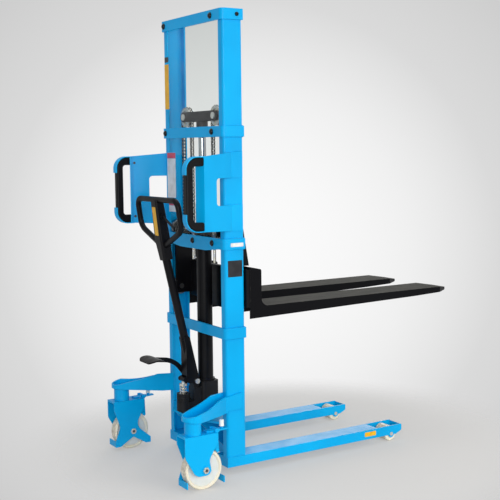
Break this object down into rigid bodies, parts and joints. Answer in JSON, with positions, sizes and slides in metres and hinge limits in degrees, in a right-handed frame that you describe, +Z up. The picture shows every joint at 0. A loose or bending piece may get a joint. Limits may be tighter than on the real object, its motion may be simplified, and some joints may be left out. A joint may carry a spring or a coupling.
{
  "type": "hand pallet stacker",
  "caption": "Manual hydraulic pallet stacker: two-column mast on straddle legs and casters, chain-lifted fork carriage, pump with handle and foot pedal.",
  "frame": {"origin": "middle of the footprint, on the floor, with the forks part raised as in the picture", "axes": "+X along the forks to their tips, +Y to the machine's left-hand side, +Z up the mast"},
  "size_m": [1.622, 0.826, 2.08],
  "materials": {
    "blue_enamel": "gloss enamel",
    "black_enamel": "satin black enamel",
    "fork_enamel": "satin black enamel, rubbed grey on top",
    "hard_chrome": "polished hard chrome",
    "zinc_plate": "bright zinc plate",
    "bare_steel": "machined steel",
    "dark_steel": "dark grey phosphate",
    "chain_steel": "oiled chain steel",
    "cast_enamel": "black enamel on a casting",
    "white_nylon": "cream nylon",
    "black_plastic": "moulded black plastic",
    "clear_sheet": "clear polycarbonate"
  },
  "bodies": {
    "mast": {"mast_bands": "blue_enamel", "anchor_band": "blue_enamel", "guard_screen": "clear_sheet", "mast_bolts": "zinc_plate", "chain_anchors": "zinc_plate", "pump_base": "blue_enamel", "pump_body": "cast_enamel", "pump_barrel": "cast_enamel", "cylinder_tube": "black_enamel", "cylinder_gland": "black_enamel", "pivot_bolt": "zinc_plate", "load_axles": "zinc_plate", "kingpins": "zinc_plate", "column_left": "blue_enamel", "column_right": "blue_enamel", "leg_left": "blue_enamel", "leg_right": "blue_enamel", "outrigger_left": "blue_enamel", "outrigger_right": "blue_enamel", "handle_bracket_left": "blue_enamel", "handle_bracket_right": "blue_enamel", "handle_grip_left": "black_plastic", "handle_grip_right": "black_plastic", "chain_fixed_left": "chain_steel", "chain_fixed_right": "chain_steel"},
    "ram": {"piston_rod": "hard_chrome", "rod_head": "dark_steel", "crosshead_plates": "dark_steel", "sheave_pins": "dark_steel", "chain_wraps": "chain_steel", "chain_lift_left": "chain_steel", "chain_lift_right": "chain_steel"},
    "sheave_left": {"sheave_left": "bare_steel"},
    "sheave_right": {"sheave_right": "bare_steel"},
    "carriage": {"carriage_frame": "black_enamel", "guide_pins": "bare_steel", "fork_left": "fork_enamel", "fork_right": "fork_enamel"},
    "pump_rocker": {"handle_socket": "black_enamel", "pump_handle": "black_enamel", "handle_housing": "black_plastic", "foot_pedal": "black_enamel"},
    "release_lever": {"release_lever": "black_enamel"},
    "plunger": {"plunger": "zinc_plate", "plunger_spring": "zinc_plate"},
    "guide_roller_lower_left": {"guide_roller_lower_left": "bare_steel"},
    "guide_roller_lower_right": {"guide_roller_lower_right": "bare_steel"},
    "guide_roller_upper_left": {"guide_roller_upper_left": "bare_steel"},
    "guide_roller_upper_right": {"guide_roller_upper_right": "bare_steel"},
    "caster_left": {"caster_fork_left": "blue_enamel", "caster_axle_left": "zinc_plate"},
    "caster_wheel_left": {"caster_wheel_left": "white_nylon"},
    "brake_left": {"brake_pedal_left": "blue_enamel"},
    "load_roller_left": {"load_roller_left": "white_nylon"},
    "caster_right": {"caster_fork_right": "blue_enamel", "caster_axle_right": "zinc_plate"},
    "caster_wheel_right": {"caster_wheel_right": "white_nylon"},
    "brake_right": {"brake_pedal_right": "blue_enamel"},
    "load_roller_right": {"load_roller_right": "white_nylon"}
  },
  "joints": [
    {"name": "ram_lift", "type": "slide", "parent": "mast", "child": "ram", "axis": [0, 0, 1], "range_m": [-0.335, 0.42], "deforming": ["chain_fixed_left", "chain_fixed_right"]},
    {"name": "carriage_lift", "type": "slide", "parent": "ram", "child": "carriage", "axis": [0, 0, 1], "range_m": [-0.335, 0.42], "deforming": ["chain_lift_left", "chain_lift_right"]},
    {"name": "sheave_spin_left", "type": "hinge", "parent": "ram", "child": "sheave_left", "pos_m": [-0.479, 0.141, 1.623], "axis": [1, 0, 0], "range_deg": [-480, 600]},
    {"name": "sheave_spin_right", "type": "hinge", "parent": "ram", "child": "sheave_right", "pos_m": [-0.479, -0.141, 1.623], "axis": [1, 0, 0], "range_deg": [-600, 480]},
    {"name": "guide_roller_lower_left_spin", "type": "hinge", "parent": "carriage", "child": "guide_roller_lower_left", "pos_m": [-0.479, 0.2523, 0.806], "axis": [0, 1, 0], "range_deg": [-1200, 960]},
    {"name": "guide_roller_lower_right_spin", "type": "hinge", "parent": "carriage", "child": "guide_roller_lower_right", "pos_m": [-0.479, -0.2523, 0.806], "axis": [0, 1, 0], "range_deg": [-1200, 960]},
    {"name": "guide_roller_upper_left_spin", "type": "hinge", "parent": "carriage", "child": "guide_roller_upper_left", "pos_m": [-0.479, 0.2523, 1.09], "axis": [0, 1, 0], "range_deg": [-960, 1200]},
    {"name": "guide_roller_upper_right_spin", "type": "hinge", "parent": "carriage", "child": "guide_roller_upper_right", "pos_m": [-0.479, -0.2523, 1.09], "axis": [0, 1, 0], "range_deg": [-960, 1200]},
    {"name": "pump_swing", "type": "hinge", "parent": "mast", "child": "pump_rocker", "pos_m": [-0.542, 0, 0.388], "axis": [0, -1, 0], "range_deg": [0, 29], "stiffness_Nm_per_rad": 150, "springref_deg": -20.05},
    {"name": "plunger_stroke", "type": "slide", "parent": "mast", "child": "plunger", "axis": [0, 0, 1], "range_m": [-0.031, 0], "deforming": ["plunger_spring"]},
    {"name": "release_lever_turn", "type": "hinge", "parent": "pump_rocker", "child": "release_lever", "pos_m": [-0.71, 0, 1.17069], "axis": [0, 1, 0], "range_deg": [0, 14], "stiffness_Nm_per_rad": 2, "springref_deg": -5.73},
    {"name": "caster_swivel_left", "type": "hinge", "parent": "mast", "child": "caster_left", "pos_m": [-0.752, 0.365, 0.246], "axis": [0, 0, 1], "continuous": true},
    {"name": "caster_roll_left", "type": "hinge", "parent": "caster_left", "child": "caster_wheel_left", "pos_m": [-0.712, 0.365, 0.09], "axis": [0, 1, 0], "continuous": true},
    {"name": "brake_press_left", "type": "hinge", "parent": "caster_left", "child": "brake_left", "pos_m": [-0.64, 0.365, 0.252], "axis": [0, 1, 0], "range_deg": [0, 3.9]},
    {"name": "load_roller_roll_left", "type": "hinge", "parent": "mast", "child": "load_roller_left", "pos_m": [0.428, 0.233, 0.037], "axis": [0, 1, 0], "continuous": true},
    {"name": "caster_swivel_right", "type": "hinge", "parent": "mast", "child": "caster_right", "pos_m": [-0.752, -0.365, 0.246], "axis": [0, 0, 1], "continuous": true},
    {"name": "caster_roll_right", "type": "hinge", "parent": "caster_right", "child": "caster_wheel_right", "pos_m": [-0.712, -0.365, 0.09], "axis": [0, 1, 0], "continuous": true},
    {"name": "brake_press_right", "type": "hinge", "parent": "caster_right", "child": "brake_right", "pos_m": [-0.64, -0.365, 0.252], "axis": [0, 1, 0], "range_deg": [0, 3.9]},
    {"name": "load_roller_roll_right", "type": "hinge", "parent": "mast", "child": "load_roller_right", "pos_m": [0.428, -0.233, 0.037], "axis": [0, 1, 0], "continuous": true}
  ],
  "couplings": [
    {"joint": "carriage_lift", "follows": "ram_lift", "ratio": 1},
    {"joint": "sheave_spin_left", "follows": "ram_lift", "rad_per_m": 24.39},
    {"joint": "sheave_spin_right", "follows": "ram_lift", "rad_per_m": -24.39},
    {"joint": "guide_roller_lower_left_spin", "follows": "ram_lift", "rad_per_m": -48.781},
    {"joint": "guide_roller_lower_right_spin", "follows": "ram_lift", "rad_per_m": -48.781},
    {"joint": "guide_roller_upper_left_spin", "follows": "ram_lift", "rad_per_m": 48.781},
    {"joint": "guide_roller_upper_right_spin", "follows": "ram_lift", "rad_per_m": 48.781},
    {"joint": "plunger_stroke", "follows": "pump_swing", "m_per_rad": -0.06}
  ]
}
